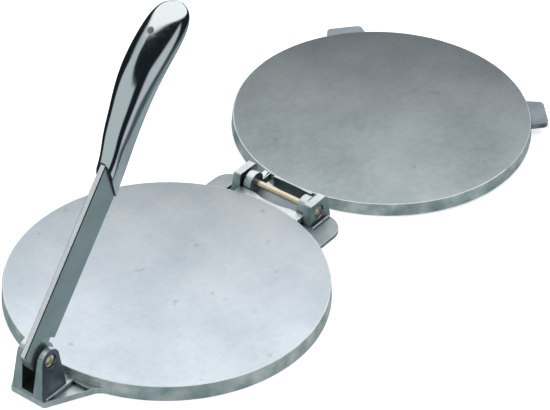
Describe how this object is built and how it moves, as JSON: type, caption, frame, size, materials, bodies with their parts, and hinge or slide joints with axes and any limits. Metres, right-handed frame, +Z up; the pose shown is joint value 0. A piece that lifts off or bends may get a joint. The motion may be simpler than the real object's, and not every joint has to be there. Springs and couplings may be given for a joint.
{
  "type": "tortilla press",
  "caption": "Hinged round cast plates with a rear hinge and a front pressing lever, shown open, for flattening balls of dough.",
  "frame": {"origin": "middle of the lower plate, on the table that the press stands on", "axes": "+X from the lever's clevis to the rear hinge and on to the open upper plate, +Z up from the table, Y along both pins"},
  "size_m": [0.3768, 0.1662, 0.1682],
  "materials": {
    "cast_plate": "satin cast aluminium, turned press faces, tumbled rims",
    "polished_lever": "cast aluminium, polished bright on the handle and satin on the bar",
    "pin_steel": "plated steel rivet, dull, slightly warm"
  },
  "bodies": {
    "base": {"base_plate": "cast_plate", "hinge_pin": "pin_steel"},
    "top_plate": {"top_plate": "cast_plate"},
    "lever_pin": {"lever_pin": "pin_steel"},
    "lever": {"lever": "polished_lever"}
  },
  "joints": [
    {"name": "plate_hinge", "type": "hinge", "parent": "base", "child": "top_plate", "pos_m": [0.0935, 0, 0.0078], "axis": [0, -1, 0], "range_deg": [0, 178.77]},
    {"name": "lever_pin_turn", "type": "hinge", "parent": "base", "child": "lever_pin", "pos_m": [-0.0958, 0, 0.022], "axis": [0, -1, 0], "range_deg": [0, 35.8]},
    {"name": "lever_hinge", "type": "hinge", "parent": "lever_pin", "child": "lever", "pos_m": [-0.0958, 0, 0.022], "axis": [0, -1, 0], "range_deg": [-54, 65]}
  ],
  "couplings": [
    {"joint": "lever_pin_turn", "follows": "plate_hinge", "ratio": 0.2}
  ]
}
